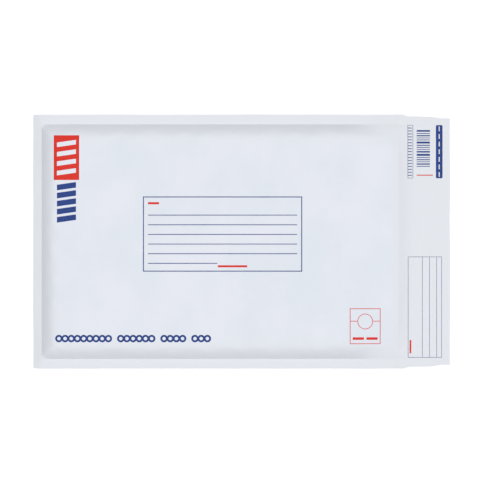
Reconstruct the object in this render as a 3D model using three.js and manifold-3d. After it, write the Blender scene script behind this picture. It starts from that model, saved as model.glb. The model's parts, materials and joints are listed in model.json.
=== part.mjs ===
// A polythene mail bag lined with bubble film, empty, lying face up with its flap open.
// Millimetres, +Z up. The bag runs along X: its sealed end is at -X and its flap at +X.
// The origin is on the surface that it lies on, below the middle of its outline.

import * as THREE from "three";
import { mergeVertices } from "three/addons/utils/BufferGeometryUtils.js";
import Module from "manifold-3d";

const wasm = await Module();
wasm.setup();

// Outline of the bag
const bagWidth = 242;
const bagLength = 347.5;
const flapLength = 50.5;
const sideSeal = 9; // flat welded border along both sides
const endSeal = 8; // and along the closed end

// The flap's sides are trimmed inwards once they are past the side seals, and again before the free edge
const trimStart = 6; // from the mouth
const trimStepLength = 4.5;
const trimStep = 1.5;
const trimTaper = 0.8; // over the rest of the flap
const tipTrimMargin = 9.5; // from the free edge
const tipTrimLength = 8;
const tipTrim = 1.1;

// Thicknesses through the wall
const filmThickness = 0.08;
const bondLine = 0.05; // between film and bubble liner
const linerThickness = 2.8;
const linerMouthThickness = 1.0; // the liner is pressed thin where it was cut at the mouth
const linerSealGap = 1.5; // from the seals
const linerMouthGap = 2; // from the mouth
const crushShare = 0.42; // of the space between the films that each liner fills beside a seal
const pocketGap = 4.4; // between the two liners, over the flat of the pad

// Shape of the padded body
const sealHeight = 2.4; // of the weld between the films, above the surface
const frontShoulder = 20; // from a seal up to the flat of the front
const backShoulder = 8; // from a seal down to the flat of the back
const shoulderRoundness = 2.6; // higher is steeper beside the seal
const cornerSquareness = 8; // higher keeps the padded body's corners squarer
const mouthEase = 48; // length over which the body eases into the mouth
const mouthShoulder = 52; // the front's shoulder along the sides, at the mouth

// The flap's film falls from the mouth to the surface, and carries the closing strip under it
const flapFall = 44;
const flapRoundness = 2; // higher is steeper at the mouth
const adhesiveThickness = 0.2;
const adhesiveWidth = 20;
const adhesiveEndMargin = 6; // from the flap's sides
const releaseThickness = 0.12;
const releaseWidth = 30;
const releaseMargin = 4; // from the flap's free edge
const stripGap = 0.03; // between film, adhesive and release liner

// Print, as thin layers of ink on the front film
const inkGap = 0.02;
const inkThickness = 0.06;
const frameLine = 0.85;
const ruleLine = 0.7;
const thinLine = 0.35;

// Steps of the grid that the sheets share
const shoulderSteps = 4;
const easeSteps = 5;
const fallSteps = 6;
const trimSteps = 2;
const mouthShoulderSteps = 3;
const curveSegments = 8; // of a printed ring or corner

// Main stations and levels, worked out from the sizes above
const endX = -(bagLength + flapLength) / 2;
const mouthX = endX + bagLength;
const flapEndX = mouthX + flapLength;
const halfWidth = bagWidth / 2;
const seamX = endX + endSeal;
const seamY = halfWidth - sideSeal;
const easeX = mouthX - mouthEase;
const tipTrimX = flapEndX - tipTrimMargin - tipTrimLength;
const bodyHeight = 2 * (filmThickness + bondLine + linerThickness) + pocketGap;
const flapRest = adhesiveThickness + releaseThickness + 2 * stripGap;

const share = (t) => Math.min(1, Math.max(0, t));

const smooth = (t) => share(t) ** 2 * (3 - 2 * share(t));

const shoulder = (t, roundness = shoulderRoundness) => 1 - (1 - share(t)) ** roundness;

// Rise of a padded surface above its seals, from 0 to 1, with the end and the sides joined round a corner
function padRise(fromEnd, fromSide) {
  const [end, side] = [1 - share(fromEnd), 1 - share(fromSide)];
  return shoulder(1 - (end ** cornerSquareness + side ** cornerSquareness) ** (1 / cornerSquareness));
}

// How far the body has eased into the mouth at x, from 0 to 1
const eased = (x) => smooth((x - easeX) / mouthEase);

// Half of the outline's width at x
function halfWidthAt(x) {
  const past = x - mouthX - trimStart;
  const taper = trimTaper * share(past / (flapLength - trimStart));
  const atTip = tipTrim * smooth((x - tipTrimX) / tipTrimLength);
  return halfWidth - trimStep * smooth(past / trimStepLength) - taper - atTip;
}

// Inner surface of the front film over the body
function frontBody(x, y) {
  const thinned = (linerThickness - linerMouthThickness) * eased(x);
  const flat = bodyHeight - filmThickness - thinned;
  const sideRun = frontShoulder + (mouthShoulder - frontShoulder) * eased(x);
  const rise = padRise((x - seamX) / frontShoulder, (seamY - Math.abs(y)) / sideRun);
  return sealHeight + (flat - sealHeight) * rise;
}

// Inner surface of the front film over the body and the flap
function frontInner(x, y) {
  if (x <= mouthX) return frontBody(x, y);
  const yAtMouth = (y * halfWidth) / halfWidthAt(x);
  const fallen = shoulder((x - mouthX) / flapFall, flapRoundness);
  return flapRest + (frontBody(mouthX, yAtMouth) - flapRest) * (1 - fallen);
}

// Outer and inner surface of the back film, whose middle lies on the surface
function backOuter(x, y) {
  const drop = padRise((x - seamX) / backShoulder, (seamY - Math.abs(y)) / backShoulder);
  return (sealHeight - filmThickness) * (1 - drop);
}

const backInner = (x, y) => backOuter(x, y) + filmThickness;

// Thickness of either bubble liner: full over the flat, pressed thin at the mouth and beside the seals
function linerAt(x, y) {
  const space = frontBody(x, y) - backInner(x, y) - 2 * bondLine;
  const full = linerThickness - (linerThickness - linerMouthThickness) * eased(x);
  return Math.min(full, crushShare * space);
}

const frontLinerTop = (x, y) => frontBody(x, y) - bondLine;
const frontLinerBottom = (x, y) => frontLinerTop(x, y) - linerAt(x, y);
const backLinerBottom = (x, y) => backInner(x, y) + bondLine;
const backLinerTop = (x, y) => backLinerBottom(x, y) + linerAt(x, y);

// Evenly spaced values from one to another, both included
const spread = (from, to, steps) =>
  Array.from({ length: steps + 1 }, (_, i) => from + ((to - from) * i) / steps);

const sortedOnce = (values) =>
  [...values].sort((a, b) => a - b).filter((v, i, all) => i === 0 || v - all[i - 1] > 1e-6);

// Grid that the films and liners share, so that their facets lie parallel to each other
const bodyStations = sortedOnce([
  endX,
  seamX + linerSealGap,
  ...spread(seamX, seamX + backShoulder, shoulderSteps),
  ...spread(seamX + backShoulder, seamX + frontShoulder, shoulderSteps),
  ...spread(easeX, mouthX, easeSteps),
  mouthX - linerMouthGap,
]);
const flapStations = sortedOnce([
  ...spread(mouthX, mouthX + flapFall, fallSteps),
  ...spread(mouthX + trimStart, mouthX + trimStart + trimStepLength, trimSteps),
  ...spread(tipTrimX, tipTrimX + tipTrimLength, trimSteps),
  flapEndX,
]);
const halfRows = sortedOnce([
  0,
  ...spread(seamY - mouthShoulder, seamY - frontShoulder, mouthShoulderSteps),
  ...spread(seamY - frontShoulder, seamY - backShoulder, shoulderSteps),
  ...spread(seamY - backShoulder, seamY, shoulderSteps),
  seamY - linerSealGap,
  halfWidth,
]);
const rows = sortedOnce([...halfRows.map((y) => -y), ...halfRows]);
const frontStations = sortedOnce([...bodyStations, ...flapStations]);
const linerStations = bodyStations.filter((x) => x >= seamX + linerSealGap && x <= mouthX - linerMouthGap);
const linerRows = rows.filter((y) => Math.abs(y) <= seamY - linerSealGap);

// A closed sheet over a grid, between a lower and an upper surface
function sheet(stations, rowsAcross, lower, upper) {
  const points = [];
  const faces = [];
  const layerSize = stations.length * rowsAcross.length;
  for (const surface of [lower, upper])
    for (const x of stations)
      for (const row of rowsAcross) {
        const y = (row * halfWidthAt(x)) / halfWidth;
        points.push(x, y, surface(x, y));
      }
  const at = (i, j, layer) => layer * layerSize + i * rowsAcross.length + j;
  const quad = (a, b, c, d) => faces.push(a, b, c, a, c, d);
  const lastI = stations.length - 1;
  const lastJ = rowsAcross.length - 1;
  for (let i = 0; i < lastI; i++)
    for (let j = 0; j < lastJ; j++) {
      const [a, b, c, d] = [[i, j], [i + 1, j], [i + 1, j + 1], [i, j + 1]];
      // The diagonal turns over at the middle, so that both halves match
      if (rowsAcross[j] < 0) {
        quad(at(...a, 1), at(...b, 1), at(...c, 1), at(...d, 1));
        quad(at(...a, 0), at(...d, 0), at(...c, 0), at(...b, 0));
      } else {
        quad(at(...b, 1), at(...c, 1), at(...d, 1), at(...a, 1));
        quad(at(...d, 0), at(...c, 0), at(...b, 0), at(...a, 0));
      }
    }
  for (let i = 0; i < lastI; i++) {
    quad(at(i, 0, 0), at(i + 1, 0, 0), at(i + 1, 0, 1), at(i, 0, 1));
    quad(at(i + 1, lastJ, 0), at(i, lastJ, 0), at(i, lastJ, 1), at(i + 1, lastJ, 1));
  }
  for (let j = 0; j < lastJ; j++) {
    quad(at(0, j + 1, 0), at(0, j, 0), at(0, j, 1), at(0, j + 1, 1));
    quad(at(lastI, j, 0), at(lastI, j + 1, 0), at(lastI, j + 1, 1), at(lastI, j, 1));
  }
  const geometry = new THREE.BufferGeometry();
  geometry.setAttribute("position", new THREE.Float32BufferAttribute(points, 3));
  geometry.setIndex(faces);
  return geometry;
}

// Between a closed geometry and a solid that can be cut
function solidOf(geometry) {
  const bare = geometry.clone();
  bare.deleteAttribute("normal");
  bare.deleteAttribute("uv");
  const merged = mergeVertices(bare);
  return new wasm.Manifold(
    new wasm.Mesh({
      numProp: 3,
      vertProperties: merged.attributes.position.array,
      triVerts: new Uint32Array(merged.index.array),
    }),
  );
}

function geometryOf(solid) {
  const mesh = solid.getMesh();
  const geometry = new THREE.BufferGeometry();
  geometry.setAttribute("position", new THREE.BufferAttribute(mesh.vertProperties, 3));
  geometry.setIndex(new THREE.BufferAttribute(mesh.triVerts, 1));
  return geometry;
}

// A flat outline, extruded upright through the whole bag
function prism(shape) {
  const room = 2;
  const geometry = new THREE.ExtrudeGeometry(shape, {
    depth: bodyHeight + 2 * room,
    bevelEnabled: false,
    curveSegments,
  });
  return solidOf(geometry.translate(0, 0, -room));
}

// Materials
const polythene = new THREE.MeshStandardMaterial({ color: "#e6e9f1", roughness: 0.42, metalness: 0 });
const bubbleFilm = new THREE.MeshStandardMaterial({ color: "#eef2f5", roughness: 0.3, metalness: 0 });
const hotMelt = new THREE.MeshStandardMaterial({ color: "#efe9d2", roughness: 0.25, metalness: 0 });
const glassine = new THREE.MeshStandardMaterial({ color: "#f4f3ec", roughness: 0.55, metalness: 0 });
const navyInk = new THREE.MeshStandardMaterial({ color: "#27408f", roughness: 0.4, metalness: 0 });
const redInk = new THREE.MeshStandardMaterial({ color: "#e8392b", roughness: 0.4, metalness: 0 });

const bag = new THREE.Group();

function addNode(name, geometry, material) {
  const mesh = new THREE.Mesh(geometry, material);
  mesh.name = name;
  bag.add(mesh);
}

// Films: the front one runs on into the flap, and both meet in the welded border
const frontOuter = (x, y) => frontInner(x, y) + filmThickness;
addNode("front_film", sheet(frontStations, rows, frontInner, frontOuter), polythene);
addNode("back_film", sheet(bodyStations, rows, backOuter, backInner), polythene);

// Bubble liners
addNode("front_bubble_liner", sheet(linerStations, linerRows, frontLinerBottom, frontLinerTop), bubbleFilm);
addNode("back_bubble_liner", sheet(linerStations, linerRows, backLinerBottom, backLinerTop), bubbleFilm);

// Outlines are drawn between two corners, low and high
function rectangle(x0, y0, x1, y1, path = new THREE.Shape()) {
  path.moveTo(x0, y0);
  path.lineTo(x1, y0);
  path.lineTo(x1, y1);
  path.lineTo(x0, y1);
  path.closePath();
  return path;
}

function roundedRectangle(x0, y0, x1, y1, radius) {
  const shape = new THREE.Shape();
  shape.moveTo(x0 + radius, y0);
  shape.lineTo(x1 - radius, y0);
  shape.absarc(x1 - radius, y0 + radius, radius, -Math.PI / 2, 0);
  shape.lineTo(x1, y1 - radius);
  shape.absarc(x1 - radius, y1 - radius, radius, 0, Math.PI / 2);
  shape.lineTo(x0 + radius, y1);
  shape.absarc(x0 + radius, y1 - radius, radius, Math.PI / 2, Math.PI);
  shape.lineTo(x0, y0 + radius);
  shape.absarc(x0 + radius, y0 + radius, radius, Math.PI, 1.5 * Math.PI);
  return shape;
}

// Four lines round a rectangle, of the given width inwards
function frame(x0, y0, x1, y1, line) {
  const shape = rectangle(x0, y0, x1, y1);
  shape.holes.push(rectangle(x0 + line, y0 + line, x1 - line, y1 - line, new THREE.Path()));
  return shape;
}

// A bar across X whose far end is moved along Y
function slantedBar(x0, x1, y, width, slant, path = new THREE.Shape()) {
  path.moveTo(x0, y);
  path.lineTo(x1, y + slant);
  path.lineTo(x1, y + slant + width);
  path.lineTo(x0, y + width);
  path.closePath();
  return path;
}

// Closing strip under the flap: adhesive, and the release liner that is peeled off it
const stripSheet = (top, thickness) =>
  solidOf(sheet(frontStations, rows, (x, y) => top(x, y) - thickness, top));
const adhesiveTop = (x, y) => frontInner(x, y) - stripGap;
const releaseTop = (x, y) => adhesiveTop(x, y) - adhesiveThickness - stripGap;
const releaseHigh = flapEndX - releaseMargin;
const releaseLow = releaseHigh - releaseWidth;
const adhesiveLow = releaseLow + (releaseWidth - adhesiveWidth) / 2;
const adhesiveReach = halfWidth - adhesiveEndMargin;
const adhesiveOutline = rectangle(adhesiveLow, -adhesiveReach, adhesiveLow + adhesiveWidth, adhesiveReach);
const releaseOutline = rectangle(releaseLow, -bagWidth, releaseHigh, bagWidth);
const adhesive = stripSheet(adhesiveTop, adhesiveThickness).intersect(prism(adhesiveOutline));
const release = stripSheet(releaseTop, releaseThickness).intersect(prism(releaseOutline));
addNode("adhesive_strip", geometryOf(adhesive), hotMelt);
addNode("release_liner", geometryOf(release), glassine);

// Ink: each printed shape is cut from a thin layer that follows the front film
const inkBottom = (x, y) => frontOuter(x, y) + inkGap;
const inkTop = (x, y) => inkBottom(x, y) + inkThickness;
const inkLayer = solidOf(sheet(frontStations, rows, inkBottom, inkTop));

function addPrint(name, outline, ink) {
  addNode(`${name}_print`, geometryOf(inkLayer.intersect(outline)), ink);
}

// Corner mark: a red block with slanted slots, and slanted navy bars below it
const corner = {
  endMargin: 19.8,
  topMargin: 19.6,
  width: 24.2,
  blockLength: 42.6,
  barInset: 3,
  slotCount: 4,
  slotPitch: 9,
  slotWidth: 4.4,
  barCount: 5,
  barGap: 2, // below the block
  barPitch: 7.7,
  barWidth: 5.3,
  slant: 2.6,
};
const cornerLeft = endX + corner.endMargin;
const cornerRight = cornerLeft + corner.width;
const cornerBarLow = cornerLeft + corner.barInset;
const cornerBarHigh = cornerRight - corner.barInset;
const blockTop = halfWidth - corner.topMargin;
const blockBottom = blockTop - corner.blockLength;
const slotsSpan = (corner.slotCount - 1) * corner.slotPitch + corner.slotWidth + corner.slant;
const firstSlot = blockBottom + (corner.blockLength - slotsSpan) / 2;
const block = rectangle(cornerLeft, blockBottom, cornerRight, blockTop);
for (let i = 0; i < corner.slotCount; i++) {
  const y = firstSlot + i * corner.slotPitch;
  const slot = slantedBar(cornerBarLow, cornerBarHigh, y, corner.slotWidth, corner.slant, new THREE.Path());
  block.holes.push(slot);
}
addPrint("corner_block", prism(block), redInk);
const firstBar = blockBottom - corner.barGap - corner.slant - corner.barWidth;
for (let i = 0; i < corner.barCount; i++) {
  const y = firstBar - i * corner.barPitch;
  const bar = slantedBar(cornerBarLow, cornerBarHigh, y, corner.barWidth, corner.slant);
  addPrint(`corner_bar_${i + 1}`, prism(bar), navyInk);
}

// Address panel: a frame round ruled lines, with a red mark at its start and at its last line
const address = {
  endMargin: 104.9,
  topFromMiddle: 43,
  width: 151.8,
  height: 71.6,
  ruleInset: 4.8,
  firstRule: 17.4,
  rulePitch: 9.2,
  ruleCount: 6,
  lastRuleLength: 66,
  markTop: 5.4,
  markLength: 10.5,
  markHeight: 2,
  codeGap: 0.6,
  codeLength: 28,
  codeDrop: 2.2,
  codeHeight: 1.9,
};
const addressLeft = endX + address.endMargin;
const addressRight = addressLeft + address.width;
const addressTop = address.topFromMiddle;
const ruleLow = addressLeft + address.ruleInset;
const ruleHigh = addressRight - address.ruleInset;
addPrint(
  "address_frame",
  prism(frame(addressLeft, addressTop - address.height, addressRight, addressTop, frameLine)),
  navyInk,
);
for (let i = 0; i < address.ruleCount; i++) {
  const y = addressTop - address.firstRule - i * address.rulePitch;
  const end = i < address.ruleCount - 1 ? ruleHigh : ruleLow + address.lastRuleLength;
  addPrint(`address_rule_${i + 1}`, prism(rectangle(ruleLow, y - ruleLine, end, y)), navyInk);
}
const markTop = addressTop - address.markTop;
const lastRuleY = addressTop - address.firstRule - (address.ruleCount - 1) * address.rulePitch;
const codeLow = ruleLow + address.lastRuleLength + address.codeGap;
const codeTop = lastRuleY - address.codeDrop;
addPrint(
  "address_mark",
  prism(rectangle(ruleLow, markTop - address.markHeight, ruleLow + address.markLength, markTop)),
  redInk,
);
addPrint(
  "address_code_mark",
  prism(rectangle(codeLow, codeTop - address.codeHeight, codeLow + address.codeLength, codeTop)),
  redInk,
);

// Caption: four chains of linked rings along the lower edge
const caption = {
  endMargin: 21.1,
  bottomMargin: 24.9,
  ringDiameter: 7.2,
  line: 1.9,
  pitch: 5.9,
  chains: [9, 6, 4, 3],
};
const captionMiddle = -halfWidth + caption.bottomMargin + caption.ringDiameter / 2;
let ringsBefore = 0;
caption.chains.forEach((count, chain) => {
  const rings = Array.from({ length: count }, (_, i) => {
    const x = endX + caption.endMargin + caption.ringDiameter / 2 + (ringsBefore + i) * caption.pitch;
    const ring = new THREE.Shape();
    ring.absarc(x, captionMiddle, caption.ringDiameter / 2, 0, 2 * Math.PI);
    const hole = new THREE.Path();
    hole.absarc(x, captionMiddle, caption.ringDiameter / 2 - caption.line, 0, 2 * Math.PI);
    ring.holes.push(hole);
    return prism(ring);
  });
  addPrint(`caption_chain_${chain + 1}`, wasm.Manifold.union(rings), navyInk);
  ringsBefore += count + 1;
});

// Stamp box: a frame with a ring held between two lines, and a broken band across its foot
const stamp = {
  mouthMargin: 16,
  bottomMargin: 23.3,
  width: 29.3,
  height: 34,
  line: 0.6,
  ringDiameter: 15,
  ringDrop: 12.5,
  bandRise: 4,
  bandHeight: 2.4,
  bandMargin: 2.8,
  bandGap: 2.4,
};
const stampRight = mouthX - stamp.mouthMargin;
const stampLeft = stampRight - stamp.width;
const stampBottom = -halfWidth + stamp.bottomMargin;
const stampTop = stampBottom + stamp.height;
const stampMiddle = stampLeft + stamp.width / 2;
const stampRingY = stampTop - stamp.ringDrop;
const stampRing = new THREE.Shape();
stampRing.absarc(stampMiddle, stampRingY, stamp.ringDiameter / 2, 0, 2 * Math.PI);
const stampHole = new THREE.Path();
stampHole.absarc(stampMiddle, stampRingY, stamp.ringDiameter / 2 - stamp.line, 0, 2 * Math.PI);
stampRing.holes.push(stampHole);
const ringEdge = stamp.ringDiameter / 2 - stamp.line / 2;
const bandLow = stampBottom + stamp.bandRise;
const stampParts = [
  prism(frame(stampLeft, stampBottom, stampRight, stampTop, stamp.line)),
  prism(stampRing),
  prism(rectangle(stampLeft, stampRingY, stampMiddle - ringEdge, stampRingY + stamp.line)),
  prism(rectangle(stampMiddle + ringEdge, stampRingY, stampRight, stampRingY + stamp.line)),
];
addPrint("stamp_box", wasm.Manifold.union(stampParts), redInk);
const halfBand = (stamp.width - stamp.bandGap) / 2 - stamp.bandMargin;
[stampLeft + stamp.bandMargin, stampMiddle + stamp.bandGap / 2].forEach((x, i) => {
  const half = rectangle(x, bandLow, x + halfBand, bandLow + stamp.bandHeight);
  addPrint(`stamp_band_${i + 1}`, prism(half), redInk);
});

// Flap label: a tab with ticks, stripes with a red mark under them, and a navy bar with slots
const label = {
  mouthMargin: 10,
  topMargin: 9.7,
  length: 50.8,
  tabWidth: 5.2,
  tickCount: 17,
  tickLength: 4.1,
  tickWidth: 0.7,
  stripesFromTab: 3.5,
  stripeLength: 12.6,
  stripesTop: 4.8,
  stripesLength: 35,
  stripeWidths: [1.6, 0.7, 1.1, 0.6, 0.7, 1.8, 0.9, 0.7, 0.6, 1.4, 1.9, 0.7, 0.9, 0.6, 1.2, 0.7],
  markDrop: 7.6,
  markLength: 15.4,
  markWidth: 0.9,
  barFromTab: 21.85,
  barWidth: 6.35,
  barRadius: 1.2,
  slotCount: 7,
  slotLength: 4.6,
  slotWidth: 1,
};
const labelTop = halfWidth - label.topMargin;
const labelBottom = labelTop - label.length;
const tabLeft = mouthX + label.mouthMargin;
const tabRight = tabLeft + label.tabWidth;
const tickPitch = label.length / (label.tickCount + 1);
const tabParts = [prism(frame(tabLeft, labelBottom, tabRight, labelTop, thinLine))];
for (let i = 1; i <= label.tickCount; i++) {
  const y = labelBottom + i * tickPitch - label.tickWidth / 2;
  tabParts.push(prism(rectangle(tabLeft, y, tabLeft + label.tickLength, y + label.tickWidth)));
}
addPrint("label_tab", wasm.Manifold.union(tabParts), navyInk);

const stripeLow = tabRight + label.stripesFromTab;
const inkedLength = label.stripeWidths.reduce((sum, width) => sum + width, 0);
const stripeGap = (label.stripesLength - inkedLength) / (label.stripeWidths.length - 1);
let stripeTop = labelTop - label.stripesTop;
label.stripeWidths.forEach((width, i) => {
  const stripe = rectangle(stripeLow, stripeTop - width, stripeLow + label.stripeLength, stripeTop);
  addPrint(`label_stripe_${i + 1}`, prism(stripe), navyInk);
  stripeTop -= width + stripeGap;
});
const labelMarkTop = labelTop - label.stripesTop - label.stripesLength - label.markDrop;
addPrint(
  "label_mark",
  prism(rectangle(stripeLow, labelMarkTop - label.markWidth, stripeLow + label.markLength, labelMarkTop)),
  redInk,
);

const barLow = tabRight + label.barFromTab;
const labelBar = roundedRectangle(barLow, labelBottom, barLow + label.barWidth, labelTop, label.barRadius);
const slotPitch = label.length / label.slotCount;
for (let i = 0; i < label.slotCount; i++) {
  const x = barLow + (label.barWidth - label.slotWidth) / 2;
  const y = labelBottom + (i + 0.5) * slotPitch - label.slotLength / 2;
  labelBar.holes.push(rectangle(x, y, x + label.slotWidth, y + label.slotLength, new THREE.Path()));
}
addPrint("label_bar", prism(labelBar), navyInk);

// Sender panel: a frame divided by ruled lines, with a red mark at its start
const sender = {
  mouthMargin: 10.3,
  bottomMargin: 10.2,
  width: 32.4,
  height: 96.4,
  firstRule: 13.6,
  rulePitch: 6.85,
  ruleCount: 3,
  markInset: 1.6,
  markWidth: 1.6,
  markRise: 4.2,
  markLength: 12.6,
};
const senderLeft = mouthX + sender.mouthMargin;
const senderBottom = -halfWidth + sender.bottomMargin;
const senderTop = senderBottom + sender.height;
const senderParts = [prism(frame(senderLeft, senderBottom, senderLeft + sender.width, senderTop, thinLine))];
for (let i = 0; i < sender.ruleCount; i++) {
  const x = senderLeft + sender.firstRule + i * sender.rulePitch;
  senderParts.push(prism(rectangle(x, senderBottom, x + thinLine, senderTop)));
}
addPrint("sender_frame", wasm.Manifold.union(senderParts), navyInk);
const senderMarkX = senderLeft + sender.markInset;
const senderMarkY = senderBottom + sender.markRise;
addPrint(
  "sender_mark",
  prism(rectangle(senderMarkX, senderMarkY, senderMarkX + sender.markWidth, senderMarkY + sender.markLength)),
  redInk,
);

export default bag;
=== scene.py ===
import json
import math
import bpy
import numpy as np
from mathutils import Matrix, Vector, noise
from mathutils.bvhtree import BVHTree


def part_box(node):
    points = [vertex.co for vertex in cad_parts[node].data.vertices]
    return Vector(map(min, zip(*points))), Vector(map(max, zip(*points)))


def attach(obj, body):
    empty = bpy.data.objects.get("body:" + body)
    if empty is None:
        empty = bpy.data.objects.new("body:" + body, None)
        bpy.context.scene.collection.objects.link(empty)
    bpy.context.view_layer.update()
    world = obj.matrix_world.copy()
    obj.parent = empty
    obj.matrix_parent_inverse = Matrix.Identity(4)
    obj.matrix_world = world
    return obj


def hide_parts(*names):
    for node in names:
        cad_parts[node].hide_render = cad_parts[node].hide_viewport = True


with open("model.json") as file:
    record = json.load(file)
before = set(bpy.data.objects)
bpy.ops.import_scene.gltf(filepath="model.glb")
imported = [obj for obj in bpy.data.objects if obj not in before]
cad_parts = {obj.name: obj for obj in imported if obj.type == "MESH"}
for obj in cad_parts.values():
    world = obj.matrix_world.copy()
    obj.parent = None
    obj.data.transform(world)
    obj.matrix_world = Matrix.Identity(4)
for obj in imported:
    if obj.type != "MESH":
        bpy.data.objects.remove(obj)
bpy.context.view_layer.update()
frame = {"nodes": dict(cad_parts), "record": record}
nodes = frame["nodes"]
scene = bpy.context.scene
mm = 0.001
print("frame loaded:", len(nodes), "solids")

# Lines that the whole bag is laid out from, read off the solids
filmLow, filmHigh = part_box("front_film")
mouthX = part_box("back_film")[1].x
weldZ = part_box("back_film")[1].z  # where the two films meet
endWeld = 8 * mm
sideWeld = 9 * mm
seamX = filmLow.x + endWeld
seamY = filmHigh.y - sideWeld
nearWeld = 0.1 * mm  # a place this near a weld's inner edge counts as on the weld
bubblePitch = 10.6 * mm  # from one bubble of the lining to the next


# Small tools

def deselectAll():
    if bpy.context.object and bpy.context.object.mode != "OBJECT":
        bpy.ops.object.mode_set(mode="OBJECT")
    bpy.ops.object.select_all(action="DESELECT")


def pick(piece):
    deselectAll()
    piece.select_set(True)
    bpy.context.view_layer.objects.active = piece


def applyModifier(piece, kind, **settings):
    pick(piece)
    modifier = piece.modifiers.new(kind.lower(), kind)
    for key, value in settings.items():
        setattr(modifier, key, value)
    bpy.ops.object.modifier_apply(modifier=modifier.name)


def readPlaces(piece):
    places = np.empty(len(piece.data.vertices) * 3)
    piece.data.vertices.foreach_get("co", places)
    return places.reshape(-1, 3)


def writePlaces(piece, places):
    piece.data.vertices.foreach_set("co", places.ravel())
    piece.data.update()


def weightGroup(piece, name, weights):
    group = piece.vertex_groups.new(name=name)
    for index, weight in enumerate(weights):
        group.add([index], float(weight), "REPLACE")


def skinOf(piece):
    return BVHTree.FromObject(piece, bpy.context.evaluated_depsgraph_get())


def heightOn(skin, x, y, fromBelow=False):
    # height of a surface at a place, seen from above or from below
    start = Vector((x, y, -1 if fromBelow else 1))
    hit = skin.ray_cast(start, Vector((0, 0, 1 if fromBelow else -1)))[0]
    return hit.z if hit else skin.find_nearest(Vector((x, y, weldZ)))[0].z


def heightsOn(skin, places, fromBelow=False):
    return np.array([heightOn(skin, p[0], p[1], fromBelow) for p in places])


def smoothStep(t):
    t = np.clip(t, 0, 1)
    return t * t * (3 - 2 * t)


def noiseAt(x, y, lengthX, lengthY, layer):
    # smooth noise of -1 to 1, with its own wavelength along each way
    return np.array([noise.noise(Vector((a / lengthX, b / lengthY, layer))) for a, b in zip(x, y)])


# Materials

def linear(hexColour):
    parts = [int(hexColour[i:i + 2], 16) / 255 for i in (1, 3, 5)]
    return [c / 12.92 if c <= 0.04045 else ((c + 0.055) / 1.055) ** 2.4 for c in parts] + [1]


def addNode(tree, kind, inputs, **settings):
    # a Mix node's two colours are its inputs 6 and 7, and its two values are 2 and 3
    node = tree.nodes.new(kind)
    for key, value in settings.items():
        setattr(node, key, value)
    for key, value in inputs.items():
        if isinstance(value, bpy.types.NodeSocket):
            tree.links.new(value, node.inputs[key])
        else:
            node.inputs[key].default_value = value
    return node


def newMaterial(name):
    material = bpy.data.materials.new(name)
    material.use_nodes = True
    tree = material.node_tree
    return material, tree, tree.nodes["Principled BSDF"]


def blownFilm():
    # White pigmented LDPE, blown as a tube: a soft gloss, and faint cooler clouds where the film is thinner
    look = {
        "white": "#e8ebf4", "cloud": "#e2e8f1", "cloudSize": 45 * mm, "cloudSpan": (0.35, 0.65),
        "unlined": "#e4e8ee",  # a little darker and less blue where only air backs it, on the welds and the flap; over the lining beside the welds and before the mouth it is painted shade of the shoulders and the fold
        "grain": 0.9 * mm, "grainDepth": 0.004 * mm,
        # faint lines along the way the film was drawn, which are this share as wide as they are long
        "drawLine": 3.5 * mm, "drawDepth": 0.006 * mm, "drawShare": 0.06,
        "roughness": 0.4, "ior": 1.51,
    }
    material, tree, shader = newMaterial("blownPolythene")
    place = addNode(tree, "ShaderNodeTexCoord", {}).outputs["Object"]
    clouds = addNode(tree, "ShaderNodeTexNoise", {
        "Vector": place, "Scale": 1 / look["cloudSize"], "Detail": 3})
    span = addNode(tree, "ShaderNodeMapRange", {
        "Value": clouds.outputs["Fac"], "From Min": look["cloudSpan"][0], "From Max": look["cloudSpan"][1]})
    colour = addNode(tree, "ShaderNodeMix", {
        "Factor": span.outputs["Result"], 6: linear(look["white"]), 7: linear(look["cloud"]),
    }, data_type="RGBA")
    # painted shade: this attribute darkens the shoulders beside the welds and the film before the mouth, as
    # well as the unlined welds and flap
    unlinedShadeMask = addNode(tree, "ShaderNodeAttribute", {}, attribute_name="unlined")
    filmWithPaintedShade = addNode(tree, "ShaderNodeMix", {
        "Factor": unlinedShadeMask.outputs["Fac"], 6: colour.outputs[2], 7: linear(look["unlined"]),
    }, data_type="RGBA")
    grain = addNode(tree, "ShaderNodeTexNoise", {"Vector": place, "Scale": 1 / look["grain"], "Detail": 2})
    drawn = addNode(tree, "ShaderNodeMapping", {"Vector": place, "Scale": (look["drawShare"], 1, 1)})
    lines = addNode(tree, "ShaderNodeTexNoise", {
        "Vector": drawn.outputs[0], "Scale": 1 / look["drawLine"], "Detail": 2})
    bumpLines = addNode(tree, "ShaderNodeBump", {
        "Height": lines.outputs["Fac"], "Distance": look["drawDepth"]})
    bumpGrain = addNode(tree, "ShaderNodeBump", {
        "Height": grain.outputs["Fac"], "Distance": look["grainDepth"], "Normal": bumpLines.outputs[0]})
    tree.links.new(filmWithPaintedShade.outputs[2], shader.inputs["Base Color"])
    tree.links.new(bumpGrain.outputs[0], shader.inputs["Normal"])
    shader.inputs["Roughness"].default_value = look["roughness"]
    shader.inputs["IOR"].default_value = look["ior"]
    return material


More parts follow.
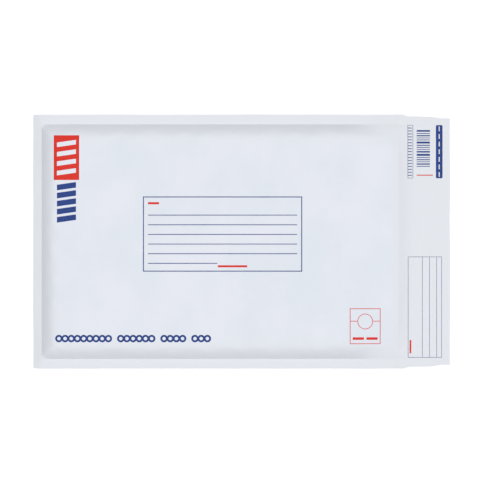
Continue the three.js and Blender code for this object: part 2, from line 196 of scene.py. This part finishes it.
def flexoInk(name, solid, starved):
    # Flexographic ink on film: flat colour with a fine mottle where the plate printed a little thin
    look = {
        "mottle": 1.2 * mm, "mottleSpan": (0.4, 0.75), "depth": 0.002 * mm,
        "roughness": 0.5, "ior": 1.5, "gloss": 0.25,
    }
    material, tree, shader = newMaterial(name)
    place = addNode(tree, "ShaderNodeTexCoord", {}).outputs["Object"]
    mottle = addNode(tree, "ShaderNodeTexNoise", {
        "Vector": place, "Scale": 1 / look["mottle"], "Detail": 4})
    span = addNode(tree, "ShaderNodeMapRange", {
        "Value": mottle.outputs["Fac"], "From Min": look["mottleSpan"][0], "From Max": look["mottleSpan"][1]})
    colour = addNode(tree, "ShaderNodeMix", {
        "Factor": span.outputs["Result"], 6: linear(solid), 7: linear(starved)}, data_type="RGBA")
    bump = addNode(tree, "ShaderNodeBump", {"Height": mottle.outputs["Fac"], "Distance": look["depth"]})
    tree.links.new(colour.outputs[2], shader.inputs["Base Color"])
    tree.links.new(bump.outputs[0], shader.inputs["Normal"])
    shader.inputs["Roughness"].default_value = look["roughness"]
    shader.inputs["IOR"].default_value = look["ior"]
    shader.inputs["Specular IOR Level"].default_value = look["gloss"]
    return material


def clearBubbleFilm():
    # Clear LDPE bubble film: nearly colourless, glossy, and cloudy where it was drawn thin
    look = {
        "clear": "#f2f6f8", "cloudy": "#dfe7ec", "cloudSize": 12 * mm,
        "roughness": 0.18, "ior": 1.51, "clearness": 0.5,
    }
    material, tree, shader = newMaterial("clearBubbleFilm")
    place = addNode(tree, "ShaderNodeTexCoord", {}).outputs["Object"]
    clouds = addNode(tree, "ShaderNodeTexNoise", {
        "Vector": place, "Scale": 1 / look["cloudSize"], "Detail": 3})
    colour = addNode(tree, "ShaderNodeMix", {
        "Factor": clouds.outputs["Fac"], 6: linear(look["clear"]), 7: linear(look["cloudy"]),
    }, data_type="RGBA")
    tree.links.new(colour.outputs[2], shader.inputs["Base Color"])
    shader.inputs["Roughness"].default_value = look["roughness"]
    shader.inputs["IOR"].default_value = look["ior"]
    shader.inputs["Transmission Weight"].default_value = look["clearness"]
    return material


def hotMelt():
    # Pressure-sensitive hot melt: pale amber, wet gloss, laid down in soft ribs by the slot die
    look = {
        "pale": "#efe6c6", "deep": "#e2d5a4", "roughness": 0.16,
        "ribRadian": 1.5 * mm,  # the ribs' spacing over two pi
        "waveRadians": 20,  # that the wave texture runs through where its scale is 1
        "waver": 0.6, "ribDepth": 0.03 * mm,
    }
    material, tree, shader = newMaterial("hotMeltAdhesive")
    place = addNode(tree, "ShaderNodeTexCoord", {}).outputs["Object"]
    ribs = addNode(tree, "ShaderNodeTexWave", {
        "Vector": place, "Scale": 1 / look["ribRadian"] / look["waveRadians"], "Distortion": look["waver"]})
    colour = addNode(tree, "ShaderNodeMix", {
        "Factor": ribs.outputs["Fac"], 6: linear(look["pale"]), 7: linear(look["deep"]),
    }, data_type="RGBA")
    bump = addNode(tree, "ShaderNodeBump", {"Height": ribs.outputs["Fac"], "Distance": look["ribDepth"]})
    tree.links.new(colour.outputs[2], shader.inputs["Base Color"])
    tree.links.new(bump.outputs[0], shader.inputs["Normal"])
    shader.inputs["Roughness"].default_value = look["roughness"]
    return material


def siliconePaper():
    # Siliconed glassine: dense cream-white paper with a slight cloudiness and a satin surface
    look = {
        "light": "#f3f1ea", "dark": "#e9e6db", "cloudSize": 4 * mm, "fibreDepth": 0.004 * mm,
        "roughness": 0.5,
    }
    material, tree, shader = newMaterial("siliconedGlassine")
    place = addNode(tree, "ShaderNodeTexCoord", {}).outputs["Object"]
    clouds = addNode(tree, "ShaderNodeTexNoise", {
        "Vector": place, "Scale": 1 / look["cloudSize"], "Detail": 6})
    colour = addNode(tree, "ShaderNodeMix", {
        "Factor": clouds.outputs["Fac"], 6: linear(look["light"]), 7: linear(look["dark"]),
    }, data_type="RGBA")
    bump = addNode(tree, "ShaderNodeBump", {
        "Height": clouds.outputs["Fac"], "Distance": look["fibreDepth"]})
    tree.links.new(colour.outputs[2], shader.inputs["Base Color"])
    tree.links.new(bump.outputs[0], shader.inputs["Normal"])
    shader.inputs["Roughness"].default_value = look["roughness"]
    return material


filmLook = blownFilm()
navyLook = flexoInk("navyFlexoInk", "#17357c", "#27478c")
redLook = flexoInk("redFlexoInk", "#dc2616", "#e03424")
bubbleLook = clearBubbleFilm()
glueLook = hotMelt()
paperLook = siliconePaper()
print("materials made")


# Films

film = {
    # cells along the end weld, its shoulder, the body and the flap,
    # and across a side weld, a shoulder and the middle
    "cellsAlong": (4, 18, 144, 42), "cellsAcross": (4, 18, 80), "shoulder": 20 * mm,
    "thickness": 0.08 * mm,
    # the grid falls on its solid from this height, and is this share smaller, so that no rim point misses
    "dropHeight": 20 * mm, "dropMargin": 1e-4,
    "easing": 0.5, "easingPasses": 6,  # take the solid's facets out of it
    "seamCrease": 5 * mm,  # the shoulder keeps its sharp foot this far from the weld
    "edgeWave": 0.35 * mm, "edgeWaveLength": 38 * mm,  # the trimmed edges wander a little
    "weldLift": 0.35 * mm, "weldLiftLength": 24 * mm,  # and the weld ripples
    "flapLift": 0.4,  # share of that ripple which the flap's sides have, upwards only
    "endDroop": 2 * mm, "sideDroop": 0.7 * mm,  # of the welds' free edges
    # soft folds across the bag, finer ones between them, and their share on the flap and the back
    "swell": 0.22 * mm, "swellLength": (26 * mm, 90 * mm),
    "fineSwell": 0.5, "fineSwellLength": (14 * mm, 40 * mm),
    "swellFade": 14 * mm, "flapSwell": 0.5, "backSwell": 0.6,
    # the lining shows through the film, up to this far from the mouth
    "bubbleMark": 0.035 * mm, "markEnd": 4 * mm, "markFade": 8 * mm,
    # beside the welds the film is this much larger than the pad, and not at all this far in
    "slack": 0.006, "slackReach": 80 * mm,
    "hold": 0.2, "bending": 120, "stretching": 10, "mass": 0.02, "clothQuality": 5, "clothFrames": 20,
    # share of the simulated puckers that is kept, and passes that round them
    "pucker": 0.5, "puckerSmoothing": 4,
    "dentFade": 6 * mm,
    # the lining's cut edge shows at the mouth: where the film steps down, over what length,
    # where that fades, and how far from the side welds it reaches its full depth
    "mouthStep": 1.1 * mm, "mouthStepFrom": -3.5 * mm, "mouthStepLength": 18 * mm,
    "mouthStepEnd": 40 * mm, "mouthStepSideFade": 40 * mm,
    "stripShow": 0.14 * mm, "stripRound": 2.5 * mm,  # and so does the strip of adhesive under the flap
    "edgeFall": 0.28 * mm,  # of the flap's free edge, past the release liner
    # how far in from the welds and back from the mouth the darker tone fades; over the lining it is painted
    # shade
    "unlinedFade": 24 * mm, "unlinedMouthFade": 10 * mm,
    "weldGap": 0.01 * mm,  # between the two films on the welds
    "creaseAngle": math.radians(24),
}

# Each use of the noise has a layer of its own
layers = {"sideEdge": 3.3, "endEdge": 7.7, "flapEdge": 9.1, "weld": 1.7, "swell": 5.5, "fineSwell": 8.2}

# Soft dents and ridges that lie in the film: middle, half sizes and height, in millimetres
dents = [
    {"middle": (-15, -8), "reach": (9, 62), "height": -0.5},
    {"middle": (-31, -10), "reach": (8, 60), "height": 0.25},
    {"middle": (94, -12), "reach": (4, 30), "height": 0.45},
    {"middle": (110, 33), "reach": (15, 15), "height": -0.4},
    {"middle": (-128, 11), "reach": (9, 22), "height": -0.3},
    {"middle": (-96, 20), "reach": (5, 12), "height": 0.3},
    {"middle": (-105, -44), "reach": (16, 7), "height": -0.25},
    {"middle": (40, -62), "reach": (12, 30), "height": -0.25},
]


def layGrid(name, hasFlap):
    # A flat grid over the bag's outline, finest on the shoulders, with a line of points on each weld's edge
    along = film["cellsAlong"] if hasFlap else film["cellsAlong"][:-1]
    weld, shoulder, middle = film["cellsAcross"]
    across = (weld, shoulder, middle, shoulder, weld)
    alongKnots = [filmLow.x, seamX, seamX + film["shoulder"], mouthX, filmHigh.x][:len(along) + 1]
    shoulderY = seamY - film["shoulder"]
    acrossKnots = [filmLow.y, -seamY, -shoulderY, shoulderY, seamY, filmHigh.y]
    deselectAll()
    bpy.ops.mesh.primitive_grid_add(x_subdivisions=sum(along), y_subdivisions=sum(across), size=2)
    piece = bpy.context.object
    piece.name = piece.data.name = name
    places = readPlaces(piece)
    column = np.round((places[:, 0] + 1) / 2 * sum(along))
    row = np.round((places[:, 1] + 1) / 2 * sum(across))
    places[:, 0] = np.interp(column, np.cumsum([0, *along]), alongKnots)
    places[:, 1] = np.interp(row, np.cumsum([0, *across]), acrossKnots)
    places[:, 1] *= halfWidthAt(places[:, 0]) / filmHigh.y
    writePlaces(piece, places)
    return piece, np.lexsort((row, column)).reshape(sum(along) + 1, -1)


def halfWidthAt(x):
    # the solid's own outline, which narrows along the flap
    solid = readPlaces(nodes["front_film"])
    stations = np.unique(np.round(solid[:, 0], 6))
    halves = [solid[np.abs(solid[:, 0] - s) < 1e-6, 1].max() for s in stations]
    return np.interp(x, stations, halves)


def insideWeld(places):
    # how far a place lies inside the welded border, below zero on the weld
    return np.minimum(places[:, 0] - seamX, seamY - np.abs(places[:, 1]))


def drapeOn(piece, node, fromBelow=False):
    # lays the flat grid on the solid, and takes the solid's facets out of it
    places = readPlaces(piece)
    inside = insideWeld(places)
    places *= 1 - film["dropMargin"]
    places[:, 2] = -film["dropHeight"] if fromBelow else film["dropHeight"]
    writePlaces(piece, places)
    applyModifier(
        piece, "SHRINKWRAP", target=nodes[node], wrap_method="PROJECT", use_project_z=True,
        use_positive_direction=fromBelow, use_negative_direction=not fromBelow)
    weightGroup(piece, "supple", smoothStep((inside - nearWeld) / film["seamCrease"]))
    applyModifier(
        piece, "SMOOTH", vertex_group="supple", use_x=False, use_y=False,
        factor=film["easing"], iterations=film["easingPasses"])


def edgeNoise(along, row, layer):
    # how a trimmed edge wanders, from -1 to 1, where each row of a layer is an edge of its own
    return noiseAt(along, row, film["edgeWaveLength"], 1, layer)


def rippleEdges(piece):
    # the weld ripples and the trimmed edges wander, most at the very edge
    places = readPlaces(piece)
    x, y = places[:, 0].copy(), places[:, 1].copy()
    onFlap = x > mouthX
    pastEnd = np.clip((seamX - x) / endWeld, 0, 1)
    pastSide = np.clip((np.abs(y) - seamY) / sideWeld, 0, 1)
    outward = smoothStep(np.maximum(pastEnd, pastSide))
    sideRow = np.sign(y) / 2
    places[:, 1] += film["edgeWave"] * outward * edgeNoise(x, sideRow, layers["sideEdge"])
    places[:, 0] += film["edgeWave"] * outward * edgeNoise(y, 0 * y, layers["endEdge"]) * (x < seamX)
    freeEdge = smoothStep((x - mouthX) / (filmHigh.x - mouthX))
    places[:, 0] += film["edgeWave"] * freeEdge * edgeNoise(y, 0 * y, layers["flapEdge"])
    places[:, 2] -= np.maximum(film["endDroop"] * pastEnd, film["sideDroop"] * pastSide * ~onFlap)
    lift = noiseAt(x, y, film["weldLiftLength"], film["weldLiftLength"], layers["weld"])
    lift = np.where(onFlap, film["flapLift"] * np.abs(lift), lift)
    places[:, 2] += film["weldLift"] * outward * lift
    writePlaces(piece, places)


def swellFilm(piece, share):
    # soft folds, and the faint print of the bubbles, fading out towards the weld
    places = readPlaces(piece)
    x, y = places[:, 0], places[:, 1]
    inner = smoothStep(insideWeld(places) / film["swellFade"])
    folds = noiseAt(x, y, *film["swellLength"], layers["swell"])
    folds += film["fineSwell"] * noiseAt(x, y, *film["fineSwellLength"], layers["fineSwell"])
    overLining = inner * smoothStep((mouthX - film["markEnd"] - x) / film["markFade"])
    wave = 2 * math.pi / bubblePitch
    turns = (math.pi / 6, math.pi / 2, math.pi * 5 / 6)  # the bubbles lie in rows that run three ways
    rows = sum(np.cos(wave * (x * math.cos(a) + y * math.sin(a)) * 2 / math.sqrt(3)) for a in turns)
    heights = film["swell"] * inner * folds + film["bubbleMark"] * overLining * rows / len(turns)
    places[:, 2] += share * np.where(x > mouthX, film["flapSwell"] * np.abs(heights), heights)
    writePlaces(piece, places)


def showLining(piece):
    # the flap steps down over the lining's cut edge, and lies over the strip that is stuck under it
    places = readPlaces(piece)
    past = places[:, 0] - mouthX
    stepped = smoothStep((past - film["mouthStepFrom"]) / film["mouthStepLength"])
    foot = film["mouthStepFrom"] + film["mouthStepLength"]
    regained = smoothStep((past - foot) / (film["mouthStepEnd"] - foot))
    overLining = smoothStep((seamY - np.abs(places[:, 1])) / film["mouthStepSideFade"])
    places[:, 2] -= film["mouthStep"] * (stepped - regained) * overLining
    stripLow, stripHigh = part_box("adhesive_strip")
    rise = smoothStep((places[:, 0] - stripLow.x) / film["stripRound"])
    fall = smoothStep((places[:, 0] - stripHigh.x) / film["stripRound"])
    places[:, 2] += film["stripShow"] * (rise - fall)
    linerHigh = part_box("release_liner")[1].x
    places[:, 2] -= film["edgeFall"] * smoothStep((places[:, 0] - linerHigh) / (filmHigh.x - linerHigh))
    writePlaces(piece, places)


def markUnlinedAndPaintedShade(piece):
    # 1 where no bubble lining backs the film, on the welds and the flap, fading out over the shoulders and
    # before the mouth, where the darker tone is painted shade
    places = readPlaces(piece)
    fromWeld = smoothStep(insideWeld(places) / film["unlinedFade"])
    fromMouth = smoothStep((mouthX - places[:, 0]) / film["unlinedMouthFade"])
    mark = piece.data.attributes.new("unlined", "FLOAT", "POINT")
    mark.data.foreach_set("value", (1 - fromWeld * fromMouth).astype(np.float32))


def pressDents(piece):
    places = readPlaces(piece)
    x, y = places[:, 0] / mm, places[:, 1] / mm
    offWeld = smoothStep(insideWeld(places) / film["dentFade"])
    for dent in dents:
        middleX, middleY = dent["middle"]
        reachX, reachY = dent["reach"]
        away = np.hypot((x - middleX) / reachX, (y - middleY) / reachY)
        places[:, 2] += dent["height"] * mm * smoothStep(1 - away) * offWeld
    writePlaces(piece, places)


def rounded(heights, passes):
    # evens out a grid of heights with its neighbours, along and across
    for _ in range(passes):
        for _ in range(2):
            wide = np.pad(heights, ((1, 1), (0, 0)), mode="edge")
            heights = ((wide[:-2] + 2 * wide[1:-1] + wide[2:]) / 4).T
    return heights


def settleFilm(piece, table):
    # The film is a little too large beside the welds that hold it, so it puckers softly there
    flat = readPlaces(piece)
    inside = insideWeld(flat)
    weightGroup(piece, "hold", np.where(inside <= nearWeld, 1, film["hold"]))
    weightGroup(piece, "taut", smoothStep(inside / film["slackReach"]))
    cloth = piece.modifiers.new("film", "CLOTH")
    settings = cloth.settings
    settings.quality = film["clothQuality"]
    settings.mass = film["mass"]
    settings.tension_stiffness = settings.compression_stiffness = film["stretching"]
    settings.shear_stiffness = film["stretching"] / 2
    settings.bending_stiffness = film["bending"]
    settings.vertex_group_mass = "hold"
    settings.pin_stiffness = 1
    settings.vertex_group_shrink = "taut"
    settings.shrink_min = -film["slack"]
    settings.shrink_max = 0
    settings.effector_weights.gravity = 0
    cloth.collision_settings.use_collision = False
    cloth.point_cache.frame_start = 1
    cloth.point_cache.frame_end = film["clothFrames"]
    for step in range(1, film["clothFrames"] + 1):
        scene.frame_set(step)
    pick(piece)
    bpy.ops.object.modifier_apply(modifier=cloth.name)
    scene.frame_set(1)
    puckers = rounded((readPlaces(piece) - flat)[:, 2][table], film["puckerSmoothing"])
    flat[table.ravel(), 2] += film["pucker"] * puckers.ravel()
    writePlaces(piece, flat)
    spread = np.percentile(puckers / mm, [0, 10, 90, 100])
    print(piece.name, "puckered by", np.round(spread, 2), "mm before easing")


def finishSheet(piece, look, thickness, upward):
    applyModifier(piece, "SOLIDIFY", thickness=thickness, offset=1 if upward else -1)
    pick(piece)
    bpy.ops.object.shade_smooth_by_angle(angle=film["creaseAngle"])
    piece.data.materials.clear()
    piece.data.materials.append(look)


frontFilm, frontTable = layGrid("frontFilm", hasFlap=True)
drapeOn(frontFilm, "front_film")
rippleEdges(frontFilm)
swellFilm(frontFilm, 1)
settleFilm(frontFilm, frontTable)
pressDents(frontFilm)
showLining(frontFilm)
markUnlinedAndPaintedShade(frontFilm)
frontPlaces = readPlaces(frontFilm)
frontSkin = skinOf(frontFilm)
finishSheet(frontFilm, filmLook, film["thickness"], upward=False)
print("front film laid")

backFilm, backTable = layGrid("backFilm", hasFlap=False)
drapeOn(backFilm, "back_film", fromBelow=True)
swellFilm(backFilm, film["backSwell"])
settleFilm(backFilm, backTable)
markUnlinedAndPaintedShade(backFilm)
backPlaces = readPlaces(backFilm)
# on the welds it follows the front film, one film below it
onWeld = (insideWeld(backPlaces) <= nearWeld)[backTable]
weldDrop = 2 * film["thickness"] + film["weldGap"]
backPlaces[backTable[onWeld]] = frontPlaces[frontTable[:len(backTable)][onWeld]] - [0, 0, weldDrop]
backPlaces[:, 2] = np.maximum(backPlaces[:, 2], 0)
writePlaces(backFilm, backPlaces)
backSkin = skinOf(backFilm)
finishSheet(backFilm, filmLook, film["thickness"], upward=True)
print("back film laid")


# Print, closing strip and release liner, which follow the film

follow = {
    # a solid is cut this fine, but no nearer to its far edge than the margin
    "cutPitch": 2 * mm, "cutMargin": 0.2 * mm,
    "samePoint": 0.0005 * mm,  # points nearer than this are merged
    "inkLift": 0.03 * mm,
}
cadSkin = skinOf(nodes["front_film"])


def followFilm(node, name, look, lift):
    solid = nodes[node]
    piece = bpy.data.objects.new(name, solid.data.copy())
    scene.collection.objects.link(piece)
    pick(piece)
    bpy.ops.object.mode_set(mode="EDIT")
    bpy.ops.mesh.select_all(action="SELECT")
    bpy.ops.mesh.remove_doubles(threshold=follow["samePoint"])
    low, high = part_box(node)
    for axis in (0, 1):
        firstCut = low[axis] + follow["cutPitch"]
        for cut in np.arange(firstCut, high[axis] - follow["cutMargin"], follow["cutPitch"]):
            bpy.ops.mesh.select_all(action="SELECT")
            centre = [0, 0, 0]
            normal = [0, 0, 0]
            centre[axis], normal[axis] = cut, 1
            bpy.ops.mesh.bisect(plane_co=centre, plane_no=normal)
    bpy.ops.object.mode_set(mode="OBJECT")
    places = readPlaces(piece)
    places[:, 2] += heightsOn(frontSkin, places) - heightsOn(cadSkin, places) + lift
    writePlaces(piece, places)
    piece.data.materials.clear()
    piece.data.materials.append(look)
    return piece


slots = {row["node"]: row["material_slot"] for row in frame["record"]["subparts"]}
looks = {"navy_ink": navyLook, "red_ink": redLook, "adhesive": glueLook, "release_paper": paperLook}
followers = []
for node in nodes:
    if slots[node] in looks:
        isInk = slots[node].endswith("ink")
        name = node.replace("_print", "") + ("_ink" if isInk else "_strip")
        piece = followFilm(node, name, looks[slots[node]], follow["inkLift"] if isInk else 0)
        followers.append((piece, node))
print("print laid on the film:", len(followers), "pieces")


# Bubble liners

bubble = {
    "across": 9.6 * mm, "sides": 10, "rings": 8,
    "foot": 0.02,  # a bubble is a sphere cut at this share of its radius above its middle
    "web": 0.05 * mm, "cell": 2.5 * mm, "filmGap": 0.12 * mm,
    "webTrim": 0.1 * mm,  # how much smaller the web is than its solid
    "edgeGap": 0.3 * mm,  # from the liner's edge to the first bubble
    "creaseAngle": math.radians(50),
}


def makeLiner(name, node, filmNode, filmSkin, facesUp):
    # a web bonded to the film, with rows of bubbles that stand into the pocket
    low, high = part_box(node)
    solidSkin = skinOf(nodes[node])
    cadFilmSkin = skinOf(nodes[filmNode])
    side = 1 if facesUp else -1

    def linerHeights(places):
        # z is a share of the liner's thickness, from the web to the top of a bubble
        outer = heightsOn(solidSkin, places, fromBelow=facesUp)
        inner = heightsOn(solidSkin, places, fromBelow=not facesUp)
        cadFilm = heightsOn(cadFilmSkin, places, fromBelow=facesUp)
        moved = heightsOn(filmSkin, places, fromBelow=facesUp) - cadFilm + side * bubble["filmGap"]
        return outer + moved + (inner - outer) * places[:, 2]

    deselectAll()
    bpy.ops.mesh.primitive_grid_add(
        x_subdivisions=round((high.x - low.x) / bubble["cell"]),
        y_subdivisions=round((high.y - low.y) / bubble["cell"]), size=1)
    web = bpy.context.object
    webSize = (high.x - low.x - bubble["webTrim"], high.y - low.y - bubble["webTrim"], 1)
    bpy.ops.object.mode_set(mode="EDIT")
    bpy.ops.transform.resize(value=webSize, center_override=(0, 0, 0))
    bpy.ops.transform.translate(value=((high.x + low.x) / 2, (high.y + low.y) / 2, 0))
    bpy.ops.object.mode_set(mode="OBJECT")
    places = readPlaces(web)
    places[:, 2] = linerHeights(places)
    writePlaces(web, places)
    applyModifier(web, "SOLIDIFY", thickness=bubble["web"], offset=1 if facesUp else -1)

    deselectAll()
    bpy.ops.mesh.primitive_uv_sphere_add(segments=bubble["sides"], ring_count=bubble["rings"], radius=1)
    domes = bpy.context.object
    radius = bubble["across"] / 2
    rowStep = bubblePitch * math.sqrt(3) / 2
    bpy.ops.object.mode_set(mode="EDIT")
    bpy.ops.mesh.select_all(action="SELECT")
    bpy.ops.mesh.bisect(
        plane_co=(0, 0, bubble["foot"]), plane_no=(0, 0, 1), use_fill=True, clear_inner=True)
    bpy.ops.mesh.select_all(action="SELECT")
    bpy.ops.transform.resize(value=(radius, radius, 1), center_override=(0, 0, 0))
    # the second bubble of the pair starts the row beside it
    bpy.ops.mesh.duplicate()
    bpy.ops.transform.translate(value=(bubblePitch / 2, rowStep, 0))
    bpy.ops.mesh.select_all(action="SELECT")
    margin = radius + bubble["edgeGap"]
    bpy.ops.transform.translate(value=(low.x + margin, low.y + margin, 0))
    bpy.ops.object.mode_set(mode="OBJECT")
    countX = int((high.x - low.x - 2 * margin - bubblePitch / 2) / bubblePitch) + 1
    countY = int((high.y - low.y - 2 * margin - rowStep) / (2 * rowStep)) + 1
    for count, offset in ((countX, (bubblePitch, 0, 0)), (countY, (0, 2 * rowStep, 0))):
        applyModifier(
            domes, "ARRAY", count=count, use_relative_offset=False, use_constant_offset=True,
            constant_offset_displace=offset)
    places = readPlaces(domes)
    places[:, 2] = linerHeights(places)
    writePlaces(domes, places)
    if not facesUp:
        pick(domes)
        bpy.ops.object.mode_set(mode="EDIT")
        bpy.ops.mesh.select_all(action="SELECT")
        bpy.ops.mesh.flip_normals()
        bpy.ops.object.mode_set(mode="OBJECT")
    pick(domes)
    web.select_set(True)
    bpy.context.view_layer.objects.active = web
    bpy.ops.object.join()
    bpy.ops.object.shade_smooth_by_angle(angle=bubble["creaseAngle"])
    web.name = web.data.name = name
    web.data.materials.clear()
    web.data.materials.append(bubbleLook)
    return web


frontLiner = makeLiner("frontBubbleLiner", "front_bubble_liner", "front_film", frontSkin, facesUp=False)
backLiner = makeLiner("backBubbleLiner", "back_bubble_liner", "back_film", backSkin, facesUp=True)
print("bubble liners laid")


# What each piece is to the frame

for piece, node in [
    (frontFilm, "front_film"), (backFilm, "back_film"),
    (frontLiner, "front_bubble_liner"), (backLiner, "back_bubble_liner"), *followers,
]:
    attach(piece, "root")
    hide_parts(node)


# Floor, light and camera

studio = {
    "floorSize": 6, "floorDrop": 0.1 * mm,
    "floorTone": "#c4c7cb", "floorRoughness": 0.9, "floorGlow": 0.56,
    "keyStrength": 2.2, "keySpread": math.radians(90), "keyFrom": (0.1, -0.01, 1),
    "skyStrength": 0.22,
}


def ownRays(tree):
    # 1 for what the camera sees directly, in gloss or through film
    path = addNode(tree, "ShaderNodeLightPath", {}).outputs
    seen = path["Is Camera Ray"]
    for ray in ("Is Glossy Ray", "Is Transmission Ray"):
        seen = addNode(tree, "ShaderNodeMath", {0: seen, 1: path[ray]}, operation="MAXIMUM").outputs[0]
    return seen


def layFloor():
    deselectAll()
    bpy.ops.mesh.primitive_plane_add(size=studio["floorSize"], location=(0, 0, -studio["floorDrop"]))
    floor = bpy.context.object
    floor.name = "studioFloor"
    material, tree, shader = newMaterial("matPaperSweep")
    shader.inputs["Base Color"].default_value = linear(studio["floorTone"])
    shader.inputs["Roughness"].default_value = studio["floorRoughness"]
    shader.inputs["Specular IOR Level"].default_value = 0
    glow = addNode(tree, "ShaderNodeMath", {0: ownRays(tree), 1: studio["floorGlow"]}, operation="MULTIPLY")
    light = addNode(tree, "ShaderNodeEmission", {"Strength": glow.outputs[0]})
    both = addNode(tree, "ShaderNodeAddShader", {0: shader.outputs[0], 1: light.outputs[0]})
    tree.links.new(both.outputs[0], tree.nodes["Material Output"].inputs["Surface"])
    floor.data.materials.append(material)


def lightSky():
    world = bpy.data.worlds.new("softSky")
    scene.world = world
    world.use_nodes = True
    tree = world.node_tree
    strength = addNode(tree, "ShaderNodeMix", {
        "Factor": ownRays(tree), 2: studio["skyStrength"], 3: 1}, data_type="FLOAT")
    sky = tree.nodes["Background"]
    sky.inputs["Color"].default_value = (1, 1, 1, 1)
    tree.links.new(strength.outputs[0], sky.inputs["Strength"])


def hangKeyLight():
    deselectAll()
    bpy.ops.object.light_add(type="SUN", location=(0, 0, 1))
    key = bpy.context.object
    key.name = "softKey"
    key.data.energy = studio["keyStrength"]
    key.data.angle = studio["keySpread"]
    key.rotation_euler = Vector(studio["keyFrom"]).to_track_quat("Z", "Y").to_euler()


# The photo is square, 483 pixels across, and looks straight down from this many metres
photo = {
    "across": 483, "bagMiddle": (241.65, 241.6), "mmPerPixel": 0.955, "height": 6,
    "clipStart": 0.01, "clipEnd": 20,
}


def placeCamera():
    scale = photo["mmPerPixel"] * mm
    middle = photo["across"] / 2
    shiftX = (middle - photo["bagMiddle"][0]) * scale
    shiftY = (photo["bagMiddle"][1] - middle) * scale
    bpy.ops.object.camera_add(location=(shiftX, shiftY, photo["height"] + weldZ), rotation=(0, 0, 0))
    camera = bpy.context.object
    camera.name = "overheadCamera"
    camera.data.lens = camera.data.sensor_width * photo["height"] / (photo["across"] * scale)
    camera.data.clip_start = photo["clipStart"]
    camera.data.clip_end = photo["clipEnd"]
    scene.camera = camera


layFloor()
lightSky()
hangKeyLight()
placeCamera()
scene.view_settings.view_transform = "Standard"
print("studio set")
